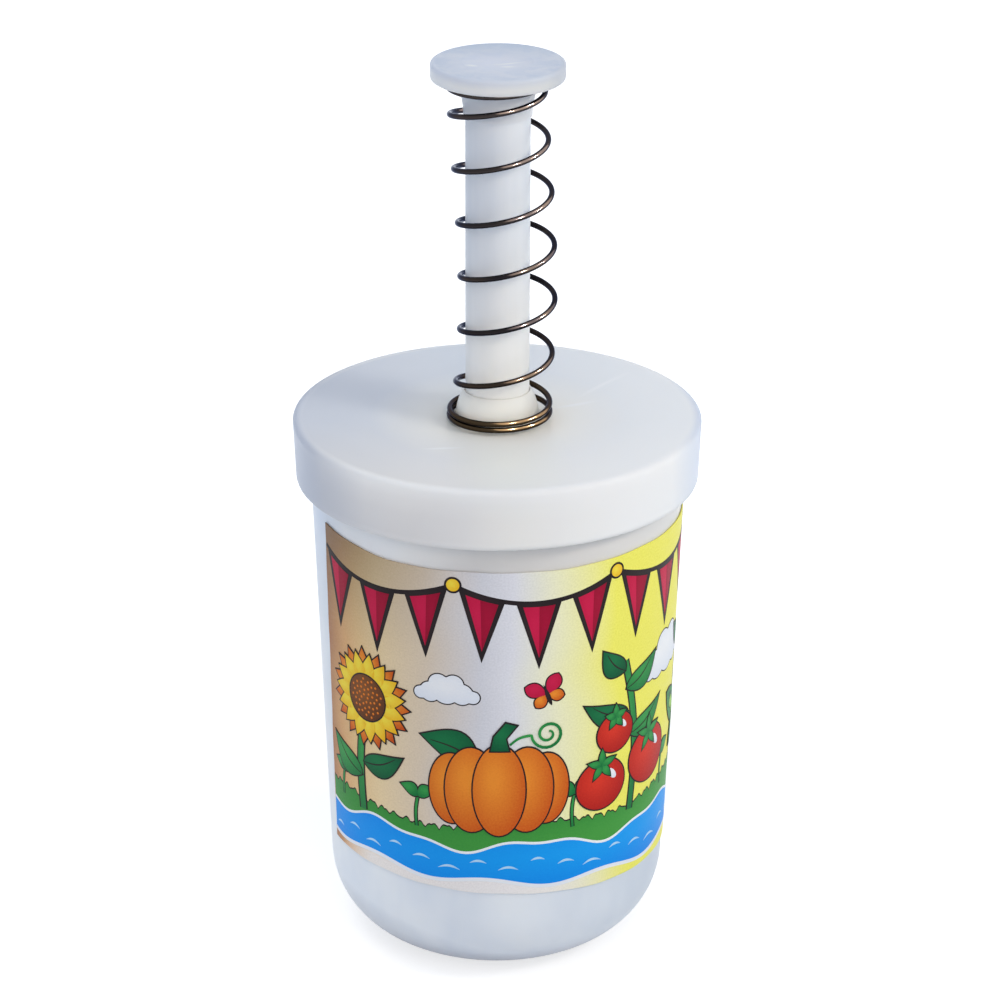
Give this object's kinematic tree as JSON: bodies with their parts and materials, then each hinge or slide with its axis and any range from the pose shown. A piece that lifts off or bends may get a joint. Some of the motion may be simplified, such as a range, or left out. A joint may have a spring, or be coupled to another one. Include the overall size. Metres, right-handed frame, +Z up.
{
  "type": "hand seed planter",
  "caption": "Tapered translucent seed cup with a wrap label, a pull-off lid and a spring-loaded thumb plunger that pokes seed out through the floor.",
  "frame": {"origin": "centre of the foot, on the surface that the cup stands on", "axes": "+Z up along the plunger, -Y towards the middle of the label's front"},
  "size_m": [0.0768, 0.0768, 0.1742],
  "materials": {
    "cup_plastic": "satin",
    "label_paper": "satin",
    "bush_plastic": "satin",
    "seal_rubber": "matte",
    "lid_plastic": "satin",
    "spring_steel": "polished",
    "plunger_plastic": "satin",
    "button_plastic": "satin",
    "clip_steel": "satin"
  },
  "bodies": {
    "cup": {"cup": "cup_plastic", "label": "label_paper", "outlet_bush": "bush_plastic", "bush_nut": "bush_plastic", "wiper_seal": "seal_rubber", "seal_cap": "bush_plastic"},
    "lid": {"lid": "lid_plastic"},
    "spring": {"return_spring": "spring_steel"},
    "plunger": {"plunger_rod": "plunger_plastic", "push_button": "button_plastic", "stop_washer": "clip_steel", "retaining_clip": "clip_steel", "metering_tip": "plunger_plastic"}
  },
  "joints": [
    {"name": "lid_lift", "type": "slide", "parent": "cup", "child": "lid", "axis": [0, 0, 1], "range_m": [0, 0.11]},
    {"name": "plunger_turn", "type": "hinge", "parent": "lid", "child": "spring", "pos_m": [0, 0, 0.1048], "axis": [0, 0, 1], "continuous": true},
    {"name": "plunger_press", "type": "slide", "parent": "spring", "child": "plunger", "axis": [0, 0, -1], "range_m": [0, 0.05], "stiffness_N_per_m": 290, "springref_m": -0.014, "deforming": ["return_spring"]}
  ]
}
